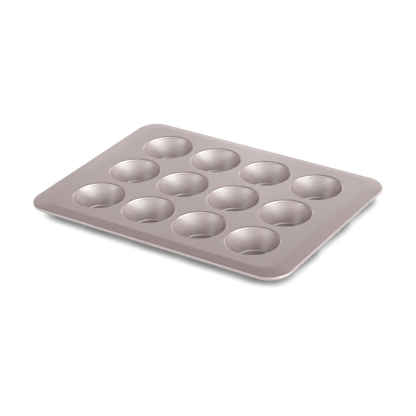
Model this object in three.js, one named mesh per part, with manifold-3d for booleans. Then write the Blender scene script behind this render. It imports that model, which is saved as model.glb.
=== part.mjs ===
// Twelve-cup muffin pan: a flat deck sheet with a sloping border and a rim rolled over a steel wire,
// and one separately drawn cup lapped under the turned-down lip of each opening in the deck.
// Millimetres, +Z up. The origin is under the middle of the pan, on the surface that the cups stand on.
import * as THREE from "three";
import { mergeVertices } from "three/addons/utils/BufferGeometryUtils.js";
import Module from "manifold-3d";

const wasm = await Module();
wasm.setup();

// Driving dimensions of the cups
const COLUMNS = 4;
const ROW_NAMES = ["front", "middle", "back"];
const CUP_MOUTH_RADIUS = 34.2; // where the line of the wall meets the deck's top face
const CUP_BASE_RADIUS = 23; // where the line of the wall meets the cup's floor
const CUP_DEPTH = 29.5; // from the deck's top face to the cup's floor
const CUP_SHEET = 0.6;
const BASE_BEND = 3; // inside radius between wall and floor

// Driving dimensions of the seam between deck and cup
const DECK_SHEET = 0.6;
const SEAM_GAP = 0.3;
const NECK_BEND = 1.1; // tightest radius of the cup's flared neck, on its underside
const LIP_STRAIGHT = 0.6; // straight end of the deck's lip, past its bend
const FLANGE_WIDTH = 2.5; // flat ring of the cup under the deck
const COLUMN_SPACING = 1.45; // between the flanges of neighbouring cups, along X
const ROW_SPACING = 3.25; // between the flanges of neighbouring cups, along Y

// Driving dimensions of the deck's margins and border
const SIDE_MARGIN = 16.4; // from the outer cups' flanges to the fold, at the left and right
const FRONT_MARGIN = 12.3; // from the outer cups' flanges to the fold, at the front and back
const SIDE_BORDER = 20.9; // from the fold to the pan's edge, at the left and right
const FRONT_BORDER = 13.5; // from the fold to the pan's edge, at the front and back
const FOLD_CORNER = 20;
const FOLD_SHARE = 0.15; // how far the bend reaches to each side of the fold, as a share of the border
const PAN_CORNER = 30;
const BORDER_DROP = 2.5; // from the deck's top face to the top of the rolled rim

// Driving dimensions of the rolled rim
const WIRE_DIAMETER = 3.8;
const WIRE_GAP = 0.3;
const ROLL_END = THREE.MathUtils.degToRad(-215); // where the rolled sheet stops, turning down from outwards

// Fineness of the round forms
const CUP_SEGMENTS = 24;
const BEND_STEPS = 2;
const CORNER_STEPS = 6;
const ROLL_STEPS = 8;
const WIRE_SIDES = 10;
const CUT_MARGIN = 1; // how far a cutting form passes the faces that it cuts

// Sizes that follow
const DECK_TOP = CUP_DEPTH + CUP_SHEET;
const WALL_TAPER = Math.atan2(CUP_MOUTH_RADIUS - CUP_BASE_RADIUS, CUP_DEPTH);
const BEND_ANGLE = Math.PI / 2 - WALL_TAPER;
const NECK_TOP_BEND = NECK_BEND + CUP_SHEET;
const LIP_BEND = NECK_TOP_BEND + SEAM_GAP;
const MOUTH_BEND = LIP_BEND + DECK_SHEET;
const OPENING_RADIUS = CUP_MOUTH_RADIUS + MOUTH_BEND * Math.tan(BEND_ANGLE / 2);
const BEND_CENTRE_Z = DECK_TOP - MOUTH_BEND;
const LIP_END_Z = BEND_CENTRE_Z + LIP_BEND * Math.sin(WALL_TAPER) - LIP_STRAIGHT * Math.cos(WALL_TAPER);
const FLANGE_RADIUS = OPENING_RADIUS + FLANGE_WIDTH;
const COLUMN_PITCH = 2 * FLANGE_RADIUS + COLUMN_SPACING;
const ROW_PITCH = 2 * FLANGE_RADIUS + ROW_SPACING;
const ROWS = ROW_NAMES.length;
const FOLD_HALF_X = ((COLUMNS - 1) / 2) * COLUMN_PITCH + FLANGE_RADIUS + SIDE_MARGIN;
const FOLD_HALF_Y = ((ROWS - 1) / 2) * ROW_PITCH + FLANGE_RADIUS + FRONT_MARGIN;
const ROLL_INSIDE = WIRE_DIAMETER / 2 + WIRE_GAP;
const ROLL_RADIUS = ROLL_INSIDE + DECK_SHEET;
const WIRE_HALF_X = FOLD_HALF_X + SIDE_BORDER - ROLL_RADIUS;
const WIRE_HALF_Y = FOLD_HALF_Y + FRONT_BORDER - ROLL_RADIUS;
const WIRE_CORNER = PAN_CORNER - ROLL_RADIUS;
const WIRE_Z = DECK_TOP - BORDER_DROP - ROLL_RADIUS;
const BORDER_SLOPE = Math.atan2(BORDER_DROP, (SIDE_BORDER + FRONT_BORDER) / 2 - ROLL_RADIUS);

const coating = new THREE.MeshStandardMaterial({ color: 0xb3a3a2, roughness: 0.38, metalness: 0.6 });
const wireSteel = new THREE.MeshStandardMaterial({ color: 0x8f9092, roughness: 0.45, metalness: 0.9 });

// Solids and meshes

function toSolid(geometry) {
  const bare = new THREE.BufferGeometry().setAttribute("position", geometry.getAttribute("position"));
  bare.setIndex(geometry.getIndex());
  const merged = mergeVertices(bare, 1e-4);
  return new wasm.Manifold(
    new wasm.Mesh({
      numProp: 3,
      vertProperties: merged.getAttribute("position").array,
      triVerts: new Uint32Array(merged.getIndex().array),
    }),
  );
}

function toGeometry(solid) {
  const { vertProperties, triVerts } = solid.getMesh();
  const geometry = new THREE.BufferGeometry();
  geometry.setAttribute("position", new THREE.BufferAttribute(vertProperties, 3));
  geometry.setIndex(new THREE.BufferAttribute(triVerts, 1));
  geometry.computeVertexNormals();
  return geometry;
}

function addMesh(group, name, geometry, material) {
  const mesh = new THREE.Mesh(geometry, material);
  mesh.name = name;
  group.add(mesh);
  return mesh;
}

// A solid of revolution about Z. The profile is [radius, z] pairs that run upwards on the outside.
function revolve(profile) {
  const points = profile.map(([radius, z]) => new THREE.Vector2(radius, z));
  return new THREE.LatheGeometry(points, CUP_SEGMENTS).rotateX(Math.PI / 2);
}

// Points along a bend of the deck's lip or the cup's neck, from flat to the slope of the wall.
function mouthBend(radius) {
  return Array.from({ length: BEND_STEPS + 1 }, (_, step) => {
    const angle = (BEND_ANGLE * step) / BEND_STEPS;
    return [OPENING_RADIUS - radius * Math.sin(angle), BEND_CENTRE_Z + radius * Math.cos(angle)];
  });
}

// Radius of the cup's inner wall line at a height, moved outwards by a wall thickness.
function wallRadius(z, offset = 0) {
  return CUP_MOUTH_RADIUS - (DECK_TOP - z) * Math.tan(WALL_TAPER) + offset / Math.cos(WALL_TAPER);
}

// Cup

// Points along the bend between floor and wall, from the floor outwards.
function baseBend(radius) {
  const centreRadius = CUP_BASE_RADIUS - BASE_BEND * Math.tan(BEND_ANGLE / 2);
  const centreZ = CUP_SHEET + BASE_BEND;
  return Array.from({ length: BEND_STEPS + 1 }, (_, step) => {
    const angle = (BEND_ANGLE * step) / BEND_STEPS;
    return [centreRadius + radius * Math.sin(angle), centreZ - radius * Math.cos(angle)];
  });
}

// The drawn cup: floor, tapered wall, a shoulder that the deck's lip stands over, and a flared neck.
function cupGeometry() {
  const shoulderZ = LIP_END_Z - SEAM_GAP;
  const shoulderUnderZ = shoulderZ - CUP_SHEET;
  const neckInside = DECK_SHEET + SEAM_GAP;
  const neckOutside = neckInside + CUP_SHEET;
  const outside = [
    [0, 0],
    ...baseBend(BASE_BEND + CUP_SHEET),
    [wallRadius(shoulderUnderZ, CUP_SHEET), shoulderUnderZ],
    [wallRadius(shoulderUnderZ, neckOutside), shoulderUnderZ],
    ...mouthBend(NECK_BEND).reverse(),
    [FLANGE_RADIUS, BEND_CENTRE_Z + NECK_BEND],
  ];
  const inside = [
    [FLANGE_RADIUS, BEND_CENTRE_Z + NECK_TOP_BEND],
    ...mouthBend(NECK_TOP_BEND),
    [wallRadius(shoulderZ, neckInside), shoulderZ],
    [wallRadius(shoulderZ), shoulderZ],
    ...baseBend(BASE_BEND).reverse(),
    [0, CUP_SHEET],
  ];
  return revolve([...outside, ...inside]);
}

// Deck sheet

// One ring of the border: a rounded rectangle at a height, with its points in step with every other ring.
function rectangleRing(halfX, halfY, corner, z) {
  const ring = [];
  for (let quarter = 0; quarter < 4; quarter++) {
    const start = (quarter * Math.PI) / 2;
    const centreX = (halfX - corner) * (quarter === 0 || quarter === 3 ? 1 : -1);
    const centreY = (halfY - corner) * (quarter < 2 ? 1 : -1);
    for (let step = 0; step <= CORNER_STEPS; step++) {
      const angle = start + ((Math.PI / 2) * step) / CORNER_STEPS;
      ring.push([centreX + corner * Math.cos(angle), centreY + corner * Math.sin(angle), z]);
    }
  }
  return ring;
}

// A ring that runs beside the rim wire's centre line, out and up from it.
function rimRing(out, up) {
  return rectangleRing(WIRE_HALF_X + out, WIRE_HALF_Y + out, WIRE_CORNER + out, WIRE_Z + up);
}

// The line of the fold between deck and border, at a depth in the sheet.
function foldRing(depth) {
  return rectangleRing(FOLD_HALF_X, FOLD_HALF_Y, FOLD_CORNER, DECK_TOP - depth);
}

// A ring at a share of the way from the fold to the roll. A share below zero lies on the flat deck.
function borderRing(fold, roll, share) {
  return fold.map(([x, y, z], i) => [
    THREE.MathUtils.lerp(x, roll[i][0], share),
    THREE.MathUtils.lerp(y, roll[i][1], share),
    THREE.MathUtils.lerp(z, roll[i][2], Math.max(share, 0)),
  ]);
}

// A surface through rings of equal length, joined end to end or closed by flat faces at both ends.
function skin(rings, joined) {
  const count = rings[0].length;
  const corners = rings.flat();
  const faces = [];
  const bands = joined ? rings.length : rings.length - 1;
  for (let band = 0; band < bands; band++) {
    const here = band * count;
    const next = ((band + 1) % rings.length) * count;
    for (let i = 0; i < count; i++) {
      const j = (i + 1) % count;
      faces.push(here + i, next + i, next + j, here + i, next + j, here + j);
    }
  }
  if (!joined) {
    const last = (rings.length - 1) * count;
    const top = corners.push([0, 0, rings[0][0][2]]) - 1;
    const bottom = corners.push([0, 0, rings.at(-1)[0][2]]) - 1;
    for (let i = 0; i < count; i++) {
      const j = (i + 1) % count;
      faces.push(top, i, j, bottom, last + j, last + i);
    }
  }
  const geometry = new THREE.BufferGeometry();
  geometry.setAttribute("position", new THREE.Float32BufferAttribute(corners.flat(), 3));
  geometry.setIndex(faces);
  return geometry;
}

// The rings of the sheet rolled round the wire, from the top of the border to the rolled end.
function rollRings(radius) {
  const start = Math.PI / 2 - BORDER_SLOPE;
  return Array.from({ length: ROLL_STEPS + 1 }, (_, step) => {
    const angle = start + ((ROLL_END - start) * step) / ROLL_STEPS;
    return rimRing(radius * Math.cos(angle), radius * Math.sin(angle));
  });
}

// One face of the border, from the flat deck over the softened fold to the end of the roll.
function borderFace(depth, rollRadius) {
  const fold = foldRing(depth);
  const roll = rollRings(rollRadius);
  return [borderRing(fold, roll[0], -FOLD_SHARE), borderRing(fold, roll[0], FOLD_SHARE), ...roll];
}

// The sheet before its openings are made: flat deck, softened fold, sloping border and rolled rim.
function deckBlank() {
  return skin([...borderFace(0, ROLL_RADIUS), ...borderFace(DECK_SHEET, ROLL_INSIDE).reverse()], false);
}

// The outer form of an opening's turned-down lip, and the form that is cut away inside it.
function lipForms() {
  const sheetMiddle = DECK_TOP - DECK_SHEET / 2;
  const outer = revolve([
    [0, LIP_END_Z],
    [wallRadius(LIP_END_Z, DECK_SHEET), LIP_END_Z],
    ...mouthBend(LIP_BEND).reverse(),
    [OPENING_RADIUS, sheetMiddle],
    [0, sheetMiddle],
  ]);
  const inner = revolve([
    [0, LIP_END_Z - CUT_MARGIN],
    [wallRadius(LIP_END_Z - CUT_MARGIN), LIP_END_Z - CUT_MARGIN],
    ...mouthBend(MOUTH_BEND).reverse(),
    [OPENING_RADIUS, DECK_TOP + CUT_MARGIN],
    [0, DECK_TOP + CUT_MARGIN],
  ]);
  return [toSolid(outer), toSolid(inner)];
}

function cupPlaces() {
  return ROW_NAMES.flatMap((rowName, row) =>
    Array.from({ length: COLUMNS }, (_, column) => ({
      name: `cup_${rowName}_${column + 1}`,
      x: (column - (COLUMNS - 1) / 2) * COLUMN_PITCH,
      y: (row - (ROWS - 1) / 2) * ROW_PITCH,
    })),
  );
}

function deckGeometry() {
  const [outer, inner] = lipForms();
  const places = cupPlaces();
  let deck = toSolid(deckBlank());
  for (const { x, y } of places) deck = deck.add(outer.translate(x, y, 0));
  for (const { x, y } of places) deck = deck.subtract(inner.translate(x, y, 0));
  return toGeometry(deck);
}

// Rim wire

function wireGeometry() {
  const radius = WIRE_DIAMETER / 2;
  const rings = Array.from({ length: WIRE_SIDES }, (_, side) => {
    const angle = (-2 * Math.PI * side) / WIRE_SIDES;
    return rimRing(radius * Math.cos(angle), radius * Math.sin(angle));
  });
  return skin(rings, true);
}

// Assembly

const muffinPan = new THREE.Group();
addMesh(muffinPan, "deck_sheet", deckGeometry(), coating);
addMesh(muffinPan, "rim_wire", wireGeometry(), wireSteel);
for (const { name, x, y } of cupPlaces()) {
  addMesh(muffinPan, name, cupGeometry(), coating).position.set(x, y, 0);
}

export default muffinPan;
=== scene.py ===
"""Looks of the muffin pan: fine sheet-metal surfaces, their finishes, and a studio with the photo's camera.

Metres, in the CAD part's own frame: +X along the long side, +Y to the back, +Z up. The cups stand on Z = 0.
"""
import math

import bmesh
import bpy
from mathutils import Matrix, Quaternion, Vector
from mathutils.geometry import tessellate_polygon


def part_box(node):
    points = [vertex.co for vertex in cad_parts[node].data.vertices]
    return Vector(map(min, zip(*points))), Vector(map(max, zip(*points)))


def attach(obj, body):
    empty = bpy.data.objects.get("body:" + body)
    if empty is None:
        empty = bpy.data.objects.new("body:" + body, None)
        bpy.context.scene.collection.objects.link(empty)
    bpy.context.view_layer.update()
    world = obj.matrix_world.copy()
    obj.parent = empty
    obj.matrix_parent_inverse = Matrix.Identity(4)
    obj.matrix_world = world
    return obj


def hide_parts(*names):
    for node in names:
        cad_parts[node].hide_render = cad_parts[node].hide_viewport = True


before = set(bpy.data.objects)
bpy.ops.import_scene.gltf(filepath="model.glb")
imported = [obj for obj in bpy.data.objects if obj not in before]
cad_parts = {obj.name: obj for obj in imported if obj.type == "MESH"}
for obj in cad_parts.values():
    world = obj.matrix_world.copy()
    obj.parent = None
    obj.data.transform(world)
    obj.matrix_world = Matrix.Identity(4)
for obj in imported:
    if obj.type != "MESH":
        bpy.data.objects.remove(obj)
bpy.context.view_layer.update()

MM = 0.001

# Sizes of the cups
CUP_MOUTH_RADIUS = 34.2 * MM  # where the line of the wall meets the deck's top face
CUP_BASE_RADIUS = 23.0 * MM  # where the line of the wall meets the cup's floor
CUP_SHEET = 0.6 * MM
BASE_BEND = 3.0 * MM
SHOULDER_BEND = 0.25 * MM
CUT_EDGE_BEND = 0.1 * MM

# Sizes of the seam between deck and cup
DECK_SHEET = 0.6 * MM
SEAM_GAP = 0.3 * MM
NECK_BEND = 1.1 * MM
LIP_STRAIGHT = 0.6 * MM

# Sizes of the border and the rolled rim
SIDE_BORDER = 20.9 * MM
FRONT_BORDER = 13.5 * MM
FOLD_CORNER = 20.0 * MM
FOLD_SHARE = 0.15  # reach of the bend to each side of the fold, as a share of the border
PAN_CORNER = 30.0 * MM
BORDER_DROP = 2.5 * MM
WIRE_DIAMETER = 3.8 * MM
WIRE_GAP = 0.3 * MM
ROLL_END = math.radians(-215)

# Fineness of the meshes
CUP_SIDES = 96
BEND_STEPS = 8
CORNER_STEPS = 20
FOLD_STEPS = 8
ROLL_STEPS = 32
WIRE_SIDES = 24
HOLD = 0.4 * MM  # width of the strip that keeps a flat face flat beside a bend
HOLD_SHARE = 0.03  # the same at the border's bends, as a share of its width
HOLD_STRETCH = 4  # a straight stretch is held where it is longer than this many times a bend's reach
SHARP_EDGE = math.radians(38)
WELD = 0.002 * MM
SLIVER = WELD / 10

# Sizes that follow from these and from the frame
CUP_NAMES = sorted(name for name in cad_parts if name.startswith("cup_"))
DECK_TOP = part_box("deck_sheet")[1].z
PAN_HALF_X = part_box("deck_sheet")[1].x
PAN_HALF_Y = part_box("deck_sheet")[1].y
FLANGE_RADIUS = (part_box(CUP_NAMES[0])[1].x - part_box(CUP_NAMES[0])[0].x) / 2
CUP_DEPTH = DECK_TOP - CUP_SHEET
WALL_TAPER = math.atan2(CUP_MOUTH_RADIUS - CUP_BASE_RADIUS, CUP_DEPTH)
BEND_ANGLE = math.pi / 2 - WALL_TAPER
NECK_TOP_BEND = NECK_BEND + CUP_SHEET
LIP_BEND = NECK_TOP_BEND + SEAM_GAP
MOUTH_BEND = LIP_BEND + DECK_SHEET
OPENING_RADIUS = CUP_MOUTH_RADIUS + MOUTH_BEND * math.tan(BEND_ANGLE / 2)
BEND_CENTRE_Z = DECK_TOP - MOUTH_BEND
LIP_END_Z = BEND_CENTRE_Z + LIP_BEND * math.sin(WALL_TAPER) - LIP_STRAIGHT * math.cos(WALL_TAPER)
ROLL_INSIDE = WIRE_DIAMETER / 2 + WIRE_GAP
ROLL_RADIUS = ROLL_INSIDE + DECK_SHEET
BORDER_SLOPE = math.atan2(BORDER_DROP, (SIDE_BORDER + FRONT_BORDER) / 2 - ROLL_RADIUS)

# Camera, fitted to the photograph's cup mouths and outline
CAMERA_AZIMUTH = math.radians(33.97)
CAMERA_ELEVATION = math.radians(29.01)
CAMERA_ROLL = math.radians(-1.98)
CAMERA_DISTANCE = 1862 * MM
CAMERA_TARGET = Vector((25.13 * MM, -38.38 * MM, DECK_TOP))
FOCAL_LENGTH = 125.38  # millimetres, on Blender's usual sensor
SENSOR_WIDTH = 36.0

# Colours of the finishes, as sRGB
COATING_COLOUR = "#AD9696"
COATING_DARK_FLAKE = "#A08989"
WIRE_COLOUR = "#A2A3A6"
FLOOR_COLOUR = "#EDEDED"

# Gloss and relief of the finishes
DECK_ROUGHNESS = (0.32, 0.37)
CUP_ROUGHNESS = (0.27, 0.32)
LIP_ROUGHNESS = 0.18
WIRE_ROUGHNESS = (0.35, 0.55)
COATING_IOR = 3.2  # high, so that the flakes shine like metal
NOISE_RANGE = (0.3, 0.7)  # most of a noise texture's values
FLAKE_RELIEF = 0.02 * MM
FLAKE_STRENGTH = 0.25
MARK_RELIEF = 0.06 * MM
MARK_STRENGTH = 0.3

# Studio light: soft patches of wall as azimuth and height in degrees, and brightness with white as 1
WINDOW_COLOUR = "#F8FFFE"
WINDOW_PATCHES = [
    (0, 25, 3.4),
    (30, 25, 0.98),
    (330, 25, 1.84),
    (30, 2, 2.35),
    (10, 45, 0.35),
]
WALL_COLOUR = "#FFFCFC"
WALL_PATCHES = [
    (270, 25, 1.11),
    (300, 25, 0.91),
    (210, 2, 0.98),
    (240, 2, 2.14),
    (315, 52, 0.42),
]
BACK_COLOUR = "#FFF6F7"
BACK_PATCHES = [
    (90, 25, 0.63),
    (150, 25, 0.7),
    (90, 2, 0.35),
    (120, 2, 0.4),
    (150, 2, 0.65),
]
PATCH_SPREAD = math.radians(16)

# Round soft lamps close behind the pan, in the same terms
LAMPS = [
    (100, 20, 0.49),
    (130, 20, 0.39),
    (75, 35, 0.1),
]
LAMP_DISTANCE = 0.5
LAMP_SIZE = 0.4

# Floor: a painted shadow close under the pan, darker where little of the space near a point is open
SHADOW_TONE = 0.2
SHADOW_OPEN = (0.565, 0.745)
SHADOW_LEAN = (0.345, -0.775, 0.53)  # space to the front and the right counts most
SHADOW_REACH = 60 * MM
SHADOW_SAMPLES = 64
FLOOR_SIZE = 8.0


# Nodes and colours


def linear(code):
    """An sRGB hex colour as linear red, green, blue and alpha."""
    parts = [int(code[i : i + 2], 16) / 255 for i in (1, 3, 5)]
    return [p / 12.92 if p <= 0.04045 else ((p + 0.055) / 1.055) ** 2.4 for p in parts] + [1.0]


def add(tree, kind, inputs=None, **settings):
    """Adds a node with its settings, and fills its inputs from values or from other nodes' sockets."""
    made = tree.nodes.new(kind)
    for name, value in settings.items():
        setattr(made, name, value)
    for key, value in (inputs or {}).items():
        if isinstance(value, bpy.types.NodeSocket):
            tree.links.new(value, made.inputs[key])
        else:
            made.inputs[key].default_value = value
    return made


def new_material(name):
    material = bpy.data.materials.new(name)
    material.use_nodes = True
    material.node_tree.nodes.clear()
    return material, material.node_tree


# Finishes


def satin_coating(name, rough, streaked):
    """Non-stick coating with metal flakes, sprayed on steel sheet: a satin finish with a warm silver tint.

    The flakes give a fine grain. The sheet is smoother where it is stretched over the openings' lips.
    Drawn walls also show faint upright draw marks through the coating.
    """
    flake = 1.1 * MM  # real flakes are under 0.1 mm; drawn coarser so that the grain shows
    cloud = 55 * MM
    material, tree = new_material(name)
    place = add(tree, "ShaderNodeTexCoord").outputs["Object"]
    grain = add(
        tree,
        "ShaderNodeTexNoise",
        {"Vector": place, "Scale": 1 / flake, "Detail": 2.0, "Roughness": 0.6},
    )
    clouds = add(tree, "ShaderNodeTexNoise", {"Vector": place, "Scale": 1 / cloud, "Detail": 2.0})
    tint = add(
        tree,
        "ShaderNodeMix",
        {0: grain.outputs["Fac"], 6: linear(COATING_DARK_FLAKE), 7: linear(COATING_COLOUR)},
        data_type="RGBA",
    )
    roughness = add(
        tree,
        "ShaderNodeMapRange",
        {
            "Value": clouds.outputs["Fac"],
            "From Min": NOISE_RANGE[0],
            "From Max": NOISE_RANGE[1],
            "To Min": rough[0],
            "To Max": rough[1],
        },
    )
    lip = add(tree, "ShaderNodeAttribute", attribute_name="lip")
    smoothed = add(
        tree, "ShaderNodeMix", {0: lip.outputs["Fac"], 2: roughness.outputs["Result"], 3: LIP_ROUGHNESS}
    )
    bump = add(
        tree,
        "ShaderNodeBump",
        {"Height": grain.outputs["Fac"], "Strength": FLAKE_STRENGTH, "Distance": FLAKE_RELIEF},
    )
    if streaked:
        bump = draw_marks(tree, bump)
    shader = add(
        tree,
        "ShaderNodeBsdfPrincipled",
        {
            "Base Color": tint.outputs[2],
            "Roughness": smoothed.outputs[0],
            "IOR": COATING_IOR,
            "Normal": bump.outputs["Normal"],
        },
    )
    add(tree, "ShaderNodeOutputMaterial", {"Surface": shader.outputs["BSDF"]})
    return material


def draw_marks(tree, bump):
    """Upright marks round a cup's wall, a few millimetres apart, left by drawing the sheet."""
    mark = 4.0 * MM
    place = add(tree, "ShaderNodeAttribute", attribute_name="cup_place").outputs["Vector"]
    level = add(tree, "ShaderNodeVectorMath", {0: place, 1: (1, 1, 0)}, operation="MULTIPLY")
    ring = add(tree, "ShaderNodeVectorMath", {0: level.outputs[0]}, operation="NORMALIZE")
    marks = add(
        tree,
        "ShaderNodeTexNoise",
        {"Vector": ring.outputs[0], "Scale": CUP_MOUTH_RADIUS / mark, "Detail": 2.0},
        noise_dimensions="2D",
    )
    return add(
        tree,
        "ShaderNodeBump",
        {
            "Height": marks.outputs["Fac"],
            "Strength": MARK_STRENGTH,
            "Distance": MARK_RELIEF,
            "Normal": bump.outputs["Normal"],
        },
    )


def drawn_wire():
    """Bare drawn steel wire, grey and half-bright, with fine scuffs along it."""
    scuff = 2.0 * MM
    material, tree = new_material("drawn_steel_wire")
    place = add(tree, "ShaderNodeTexCoord").outputs["Object"]
    scuffs = add(tree, "ShaderNodeTexNoise", {"Vector": place, "Scale": 1 / scuff, "Detail": 3.0})
    roughness = add(
        tree,
        "ShaderNodeMapRange",
        {
            "Value": scuffs.outputs["Fac"],
            "From Min": NOISE_RANGE[0],
            "From Max": NOISE_RANGE[1],
            "To Min": WIRE_ROUGHNESS[0],
            "To Max": WIRE_ROUGHNESS[1],
        },
    )
    shader = add(
        tree,
        "ShaderNodeBsdfPrincipled",
        {"Base Color": linear(WIRE_COLOUR), "Metallic": 1.0, "Roughness": roughness.outputs["Result"]},
    )
    add(tree, "ShaderNodeOutputMaterial", {"Surface": shader.outputs["BSDF"]})
    return material


def studio_paper():
    """Matt white studio paper. The camera and reflections see it as an even white glow with a painted
    shadow, dark only close to the pan.
    """
    material, tree = new_material("studio_paper")
    paper = add(tree, "ShaderNodeBsdfDiffuse", {"Color": linear(FLOOR_COLOUR)})
    lean = add(tree, "ShaderNodeCombineXYZ", dict(zip("XYZ", SHADOW_LEAN)))
    open_share = add(
        tree,
        "ShaderNodeAmbientOcclusion",
        {"Distance": SHADOW_REACH, "Normal": lean.outputs[0]},
        samples=SHADOW_SAMPLES,
    )
    tone = add(
        tree,
        "ShaderNodeMapRange",
        {
            "Value": open_share.outputs["AO"],
            "From Min": SHADOW_OPEN[0],
            "From Max": SHADOW_OPEN[1],
            "To Min": SHADOW_TONE,
            "To Max": 1.0,
        },
        interpolation_type="SMOOTHSTEP",
    )
    # painted shadow: the floor's glow is darkened by how open the space above it is, not by the lamps
    glow_with_painted_shadow = add(tree, "ShaderNodeEmission", {"Strength": tone.outputs["Result"]})
    path = add(tree, "ShaderNodeLightPath")
    shows = add(
        tree,
        "ShaderNodeMath",
        {0: path.outputs["Is Camera Ray"], 1: path.outputs["Is Glossy Ray"]},
        operation="MAXIMUM",
    )
    both = add(
        tree, "ShaderNodeMixShader", {0: shows.outputs[0], 1: paper.outputs[0], 2: glow_with_painted_shadow.outputs[0]}
    )
    add(tree, "ShaderNodeOutputMaterial", {"Surface": both.outputs[0]})
    return material


# Meshes


def finish_mesh(mesh):
    """Merges doubles, turns the faces outwards, and keeps cut edges sharp."""
    work = bmesh.new()
    work.from_mesh(mesh)
    bmesh.ops.remove_doubles(work, verts=work.verts, dist=WELD)
    bmesh.ops.dissolve_degenerate(work, edges=work.edges, dist=SLIVER)
    bmesh.ops.recalc_face_normals(work, faces=work.faces)
    work.to_mesh(mesh)
    work.free()
    mesh.shade_smooth()
    mesh.set_sharp_from_angle(angle=SHARP_EDGE)


def new_piece(name, mesh, material, slot, *nodes):
    """A finished piece that stands for CAD nodes and rides on the pan's one body."""
    mesh.name = name
    mesh.materials.clear()
    mesh.materials.append(material)
    piece = bpy.data.objects.new(name, mesh)
    bpy.context.scene.collection.objects.link(piece)
    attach(piece, "root")
    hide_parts(*nodes)


def wall_radius(z, offset=0.0):
    """Radius of the cup's inner wall line at a height, moved outwards by a thickness."""
    return CUP_MOUTH_RADIUS - (DECK_TOP - z) * math.tan(WALL_TAPER) + offset / math.cos(WALL_TAPER)


# Cups


def cup_section():
    """Corners of the cup's sheet, out along its outside and back along its inside: radius, Z, bend."""
    neck_inside = DECK_SHEET + SEAM_GAP
    neck_outside = neck_inside + CUP_SHEET
    shoulder = LIP_END_Z - SEAM_GAP
    shoulder_under = shoulder - CUP_SHEET
    flange = DECK_TOP - neck_inside
    flange_under = DECK_TOP - neck_outside
    return [
        (0.0, 0.0, 0.0),
        (wall_radius(0.0, CUP_SHEET), 0.0, BASE_BEND + CUP_SHEET),
        (wall_radius(shoulder_under, CUP_SHEET), shoulder_under, SHOULDER_BEND),
        (wall_radius(shoulder_under, neck_outside), shoulder_under, SHOULDER_BEND),
        (wall_radius(flange_under, neck_outside), flange_under, NECK_BEND),
        (FLANGE_RADIUS, flange_under, CUT_EDGE_BEND),
        (FLANGE_RADIUS, flange, CUT_EDGE_BEND),
        (wall_radius(flange, neck_inside), flange, NECK_TOP_BEND),
        (wall_radius(shoulder, neck_inside), shoulder, SHOULDER_BEND),
        (wall_radius(shoulder), shoulder, SHOULDER_BEND),
        (CUP_BASE_RADIUS, CUP_SHEET, BASE_BEND),
        (0.0, CUP_SHEET, 0.0),
    ]


def held_section(corners):
    """The section with an extra point on each long straight stretch, just past the end of each bend."""
    points = []
    for i, (radius, z, bend) in enumerate(corners):
        here = Vector((radius, z))
        ends = {}
        if bend:
            before = Vector(corners[i - 1][:2]) - here
            after = Vector(corners[i + 1][:2]) - here
            turn = math.pi - before.angle(after)
            reach = bend * math.tan(turn / 2) + HOLD
            for key, way in (("before", before), ("after", after)):
                if way.length > HOLD_STRETCH * reach:
                    ends[key] = here + way.normalized() * reach
        if "before" in ends:
            points.append((*ends["before"], 0.0))
        points.append((radius, z, bend))
        if "after" in ends:
            points.append((*ends["after"], 0.0))
    return points


def section_object():
    """The cup's section as a line of points, with each point's bend as an attribute."""
    points = held_section(cup_section())
    mesh = bpy.data.meshes.new("cup_section")
    rail = CUP_MOUTH_RADIUS
    # across the rail is X, and down from the rail is Y
    corners = [(radius - rail, -z, 0) for radius, z, _ in points]
    mesh.from_pydata(corners, [(i, i + 1) for i in range(len(corners) - 1)], [])
    bend = mesh.attributes.new("bend", "FLOAT", "POINT")
    bend.data.foreach_set("value", [radius for _, _, radius in points])
    section = bpy.data.objects.new("cup_section", mesh)
    bpy.context.scene.collection.objects.link(section)
    return section


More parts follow.
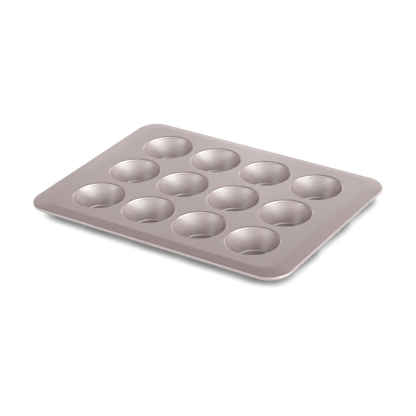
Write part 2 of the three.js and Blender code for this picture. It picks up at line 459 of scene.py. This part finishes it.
def turned_cup_tree():
    """Bends a section's corners, turns it round an upright axis, and sets it at a cup's place."""
    tree = bpy.data.node_groups.new("turned_cup", "GeometryNodeTree")
    face = tree.interface
    face.new_socket("Section", in_out="INPUT", socket_type="NodeSocketGeometry")
    for name, kind in (
        ("Mouth Radius", "NodeSocketFloat"),
        ("Sides", "NodeSocketInt"),
        ("Bend Steps", "NodeSocketInt"),
        ("Cup Centre", "NodeSocketVector"),
        ("Coating", "NodeSocketMaterial"),
    ):
        face.new_socket(name, in_out="INPUT", socket_type=kind)
    face.new_socket("Cup", in_out="OUTPUT", socket_type="NodeSocketGeometry")
    given = add(tree, "NodeGroupInput").outputs
    bend = add(tree, "GeometryNodeInputNamedAttribute", {"Name": "bend"}, data_type="FLOAT")
    line = add(tree, "GeometryNodeMeshToCurve", {"Mesh": given["Section"]})
    bent = add(
        tree,
        "GeometryNodeFilletCurve",
        {
            "Curve": line.outputs["Curve"],
            "Count": given["Bend Steps"],
            "Radius": bend.outputs["Attribute"],
            "Limit Radius": True,
        },
        mode="POLY",
    )
    circle = add(
        tree,
        "GeometryNodeCurvePrimitiveCircle",
        {"Resolution": given["Sides"], "Radius": given["Mouth Radius"]},
        mode="RADIUS",
    )
    rail = add(tree, "GeometryNodeSetCurveNormal", {"Curve": circle.outputs["Curve"]}, mode="Z_UP")
    turned = add(
        tree,
        "GeometryNodeCurveToMesh",
        {"Curve": rail.outputs["Curve"], "Profile Curve": bent.outputs["Curve"]},
    )
    own_place = add(tree, "GeometryNodeInputPosition")
    marked = add(
        tree,
        "GeometryNodeStoreNamedAttribute",
        {
            "Geometry": turned.outputs["Mesh"],
            "Name": "cup_place",
            "Value": own_place.outputs["Position"],
        },
        data_type="FLOAT_VECTOR",
        domain="POINT",
    )
    placed = add(
        tree,
        "GeometryNodeTransform",
        {"Geometry": marked.outputs["Geometry"], "Translation": given["Cup Centre"]},
    )
    whole = add(tree, "GeometryNodeRealizeInstances", {"Geometry": placed.outputs["Geometry"]})
    coated = add(
        tree,
        "GeometryNodeSetMaterial",
        {"Geometry": whole.outputs["Geometry"], "Material": given["Coating"]},
    )
    add(tree, "NodeGroupOutput", {"Cup": coated.outputs["Geometry"]})
    return tree


def make_cups(coating):
    tree = turned_cup_tree()
    ids = {item.name: item.identifier for item in tree.interface.items_tree}
    section = section_object()
    for name in CUP_NAMES:
        low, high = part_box(name)
        centre = (low + high) / 2
        modifier = section.modifiers.new("turned_cup", "NODES")
        modifier.node_group = tree
        modifier[ids["Mouth Radius"]] = CUP_MOUTH_RADIUS
        modifier[ids["Sides"]] = CUP_SIDES
        modifier[ids["Bend Steps"]] = BEND_STEPS
        modifier[ids["Cup Centre"]] = (centre.x, centre.y, 0.0)
        modifier[ids["Coating"]] = coating
        bpy.context.view_layer.update()
        evaluated = section.evaluated_get(bpy.context.evaluated_depsgraph_get())
        mesh = bpy.data.meshes.new_from_object(evaluated)
        section.modifiers.remove(modifier)
        finish_mesh(mesh)
        new_piece(f"{name}_drawn", mesh, coating, "coated_steel", name)
    bpy.data.objects.remove(section)


# Deck sheet and rim wire


def rectangle_ring(half_x, half_y, corner, z):
    """A rounded rectangle at a height, its points in step with those of every other ring."""
    ring = []
    for quarter in range(4):
        centre_x = (half_x - corner) * (1 if quarter in (0, 3) else -1)
        centre_y = (half_y - corner) * (1 if quarter < 2 else -1)
        for step in range(CORNER_STEPS + 1):
            angle = (quarter + step / CORNER_STEPS) * math.pi / 2
            point = (centre_x + corner * math.cos(angle), centre_y + corner * math.sin(angle), z)
            ring.append(Vector(point))
    return ring


def rim_ring(out, up):
    """A ring beside the rim wire's centre line, out and up from it."""
    shift = out - ROLL_RADIUS
    z = DECK_TOP - BORDER_DROP - ROLL_RADIUS + up
    return rectangle_ring(PAN_HALF_X + shift, PAN_HALF_Y + shift, PAN_CORNER + shift, z)


def fold_ring(depth):
    """The line of the fold between deck and border, at a depth in the sheet."""
    half_x, half_y = PAN_HALF_X - SIDE_BORDER, PAN_HALF_Y - FRONT_BORDER
    return rectangle_ring(half_x, half_y, FOLD_CORNER, DECK_TOP - depth)


def fold_drop(share):
    """How far the border has dropped at a share of its width, as a share of its whole drop."""
    if share > FOLD_SHARE:
        return share
    return max(share + FOLD_SHARE, 0.0) ** 2 / (4 * FOLD_SHARE)


def border_ring(fold, roll, share):
    """A ring at a share of the way from the fold to the roll. A share below zero lies on the deck."""
    ring = []
    for here, there in zip(fold, roll):
        point = here.lerp(there, share)
        point.z = here.z + (there.z - here.z) * fold_drop(share)
        ring.append(point)
    return ring


def roll_rings(radius):
    """The sheet rolled round the wire, from the border's edge to the rolled end."""
    start = math.pi / 2 - BORDER_SLOPE
    angles = [start + (ROLL_END - start) * step / ROLL_STEPS for step in range(ROLL_STEPS + 1)]
    return [rim_ring(radius * math.cos(a), radius * math.sin(a)) for a in angles]


def border_face(depth, radius):
    """One face of the border, from the flat deck over the soft fold to the rolled end."""
    fold, roll = fold_ring(depth), roll_rings(radius)
    bend = [FOLD_SHARE * (2 * step / FOLD_STEPS - 1) for step in range(FOLD_STEPS + 1)]
    shares = [bend[0] - HOLD_SHARE, *bend, bend[-1] + HOLD_SHARE, 1 - HOLD_SHARE]
    return [border_ring(fold, roll[0], share) for share in shares] + roll


def lip_rings(centre):
    """The turned-down lip of one opening, from the deck's top face round to its underside."""

    def bend(radius):
        angles = [BEND_ANGLE * step / BEND_STEPS for step in range(BEND_STEPS + 1)]
        return [
            (OPENING_RADIUS - radius * math.sin(angle), BEND_CENTRE_Z + radius * math.cos(angle))
            for angle in angles
        ]

    profile = [
        (OPENING_RADIUS + HOLD, DECK_TOP),
        *bend(MOUTH_BEND),
        (wall_radius(LIP_END_Z), LIP_END_Z),
        (wall_radius(LIP_END_Z, DECK_SHEET), LIP_END_Z),
        *reversed(bend(LIP_BEND)),
        (OPENING_RADIUS + HOLD, DECK_TOP - DECK_SHEET),
    ]
    turns = [2 * math.pi * side / CUP_SIDES for side in range(CUP_SIDES)]
    return [
        [Vector((centre.x + r * math.cos(t), centre.y + r * math.sin(t), z)) for t in turns]
        for r, z in profile
    ]


def skin(work, rings):
    """Joins rings of points, one to the next, by strips of faces, and returns the rings' corners."""
    corners = [[work.verts.new(point) for point in ring] for ring in rings]
    for here, beyond in zip(corners, corners[1:]):
        for i, corner in enumerate(here):
            work.faces.new((here[i - 1], corner, beyond[i], beyond[i - 1]))
    return corners


def flat_face(work, outline, holes):
    """Fills a flat outline that has holes in it."""
    loops = [outline, *holes]
    corners = [corner for loop in loops for corner in loop]
    for face in tessellate_polygon([[corner.co for corner in loop] for loop in loops]):
        work.faces.new([corners[i] for i in face])


def make_deck(coating):
    work = bmesh.new()
    lip_mark = work.verts.layers.float.new("lip")
    top = border_face(0.0, ROLL_RADIUS)
    under = border_face(DECK_SHEET, ROLL_INSIDE)
    border = skin(work, top + under[::-1])
    lips = []
    for name in CUP_NAMES:
        low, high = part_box(name)
        lip = skin(work, lip_rings((low + high) / 2))
        for ring in lip[2:-2]:  # past the flat and the first line of the bend, on both faces
            for corner in ring:
                corner[lip_mark] = 1.0
        lips.append(lip)
    flat_face(work, border[0], [lip[0] for lip in lips])
    flat_face(work, border[-1], [lip[-1] for lip in lips])
    mesh = bpy.data.meshes.new("deck_sheet_pressed")
    work.to_mesh(mesh)
    work.free()
    finish_mesh(mesh)
    new_piece("deck_sheet_pressed", mesh, coating, "coated_steel", "deck_sheet")


def make_wire(steel):
    work = bmesh.new()
    radius = WIRE_DIAMETER / 2
    turns = [2 * math.pi * side / WIRE_SIDES for side in range(WIRE_SIDES + 1)]
    skin(work, [rim_ring(radius * math.cos(t), radius * math.sin(t)) for t in turns])
    mesh = bpy.data.meshes.new("rim_wire_drawn")
    work.to_mesh(mesh)
    work.free()
    finish_mesh(mesh)
    new_piece("rim_wire_drawn", mesh, steel, "wire_steel", "rim_wire")


# Studio


def make_floor():
    half = FLOOR_SIZE / 2
    mesh = bpy.data.meshes.new("studio_floor")
    corners = [(-half, -half, 0), (half, -half, 0), (half, half, 0), (-half, half, 0)]
    mesh.from_pydata(corners, [], [(0, 1, 2, 3)])
    mesh.materials.append(studio_paper())
    floor = bpy.data.objects.new("studio_floor", mesh)
    bpy.context.scene.collection.objects.link(floor)


def toward(azimuth, height):
    """The way to an azimuth and a height, both in degrees."""
    turn, lift = math.radians(azimuth), math.radians(height)
    return Vector((math.cos(lift) * math.cos(turn), math.cos(lift) * math.sin(turn), math.sin(lift)))


def soft_light(tree, way, colour, patches):
    """Light of one colour from soft patches, each brightest at its middle and fading evenly all round."""
    sharpness = 1 / PATCH_SPREAD**2
    total = 0.0
    for azimuth, height, brightness in patches:
        near = add(
            tree, "ShaderNodeVectorMath", {0: way, 1: toward(azimuth, height)}, operation="DOT_PRODUCT"
        )
        fade = add(
            tree,
            "ShaderNodeMath",
            {0: near.outputs["Value"], 1: sharpness, 2: -sharpness},
            operation="MULTIPLY_ADD",
        )
        patch = add(tree, "ShaderNodeMath", {0: fade.outputs[0]}, operation="EXPONENT")
        total = add(
            tree,
            "ShaderNodeMath",
            {0: patch.outputs[0], 1: brightness, 2: total},
            operation="MULTIPLY_ADD",
        ).outputs[0]
    return add(tree, "ShaderNodeBackground", {"Color": linear(colour), "Strength": total}).outputs[0]


def light_studio():
    """A room with a cool window on the right, pale walls, and three soft lamps close behind the pan."""
    world = bpy.data.worlds.new("studio")
    world.use_nodes = True
    bpy.context.scene.world = world
    tree = world.node_tree
    tree.nodes.clear()
    way = add(tree, "ShaderNodeTexCoord").outputs["Generated"]
    window = soft_light(tree, way, WINDOW_COLOUR, WINDOW_PATCHES)
    wall = soft_light(tree, way, WALL_COLOUR, WALL_PATCHES)
    back = soft_light(tree, way, BACK_COLOUR, BACK_PATCHES)
    sides = add(tree, "ShaderNodeAddShader", {0: window, 1: wall})
    lit = add(tree, "ShaderNodeAddShader", {0: sides.outputs[0], 1: back})
    white = add(tree, "ShaderNodeBackground", {"Color": (1, 1, 1, 1), "Strength": 1.0})
    path = add(tree, "ShaderNodeLightPath")
    shown = add(
        tree,
        "ShaderNodeMixShader",
        {0: path.outputs["Is Camera Ray"], 1: lit.outputs[0], 2: white.outputs[0]},
    )
    add(tree, "ShaderNodeOutputWorld", {"Surface": shown.outputs[0]})
    disk = math.pi * LAMP_SIZE**2 / 4
    for azimuth, height, brightness in LAMPS:
        bulb = bpy.data.lights.new("soft_lamp", "AREA")
        bulb.shape = "DISK"
        bulb.size = LAMP_SIZE
        bulb.energy = brightness * math.pi * disk
        lamp = bpy.data.objects.new("soft_lamp", bulb)
        bpy.context.scene.collection.objects.link(lamp)
        place = toward(azimuth, height) * LAMP_DISTANCE
        facing = (place - Vector((0, 0, DECK_TOP))).to_track_quat("Z", "Y")
        lamp.matrix_world = Matrix.Translation(place) @ facing.to_matrix().to_4x4()


def make_camera():
    lens = bpy.data.cameras.new("camera")
    lens.lens = FOCAL_LENGTH
    lens.sensor_width = SENSOR_WIDTH
    camera = bpy.data.objects.new("camera", lens)
    bpy.context.scene.collection.objects.link(camera)
    flat = math.cos(CAMERA_ELEVATION)
    back = Vector(
        (math.sin(CAMERA_AZIMUTH) * flat, -math.cos(CAMERA_AZIMUTH) * flat, math.sin(CAMERA_ELEVATION))
    )
    turn = back.to_track_quat("Z", "Y") @ Quaternion((0, 0, 1), CAMERA_ROLL)
    place = CAMERA_TARGET + back * CAMERA_DISTANCE
    camera.matrix_world = Matrix.Translation(place) @ turn.to_matrix().to_4x4()
    bpy.context.scene.camera = camera


# Assembly

bpy.context.scene.view_settings.view_transform = "Standard"
make_camera()
light_studio()
make_floor()
make_deck(satin_coating("satin_nonstick_on_steel", DECK_ROUGHNESS, streaked=False))
make_cups(satin_coating("satin_nonstick_on_drawn_steel", CUP_ROUGHNESS, streaked=True))
make_wire(drawn_wire())
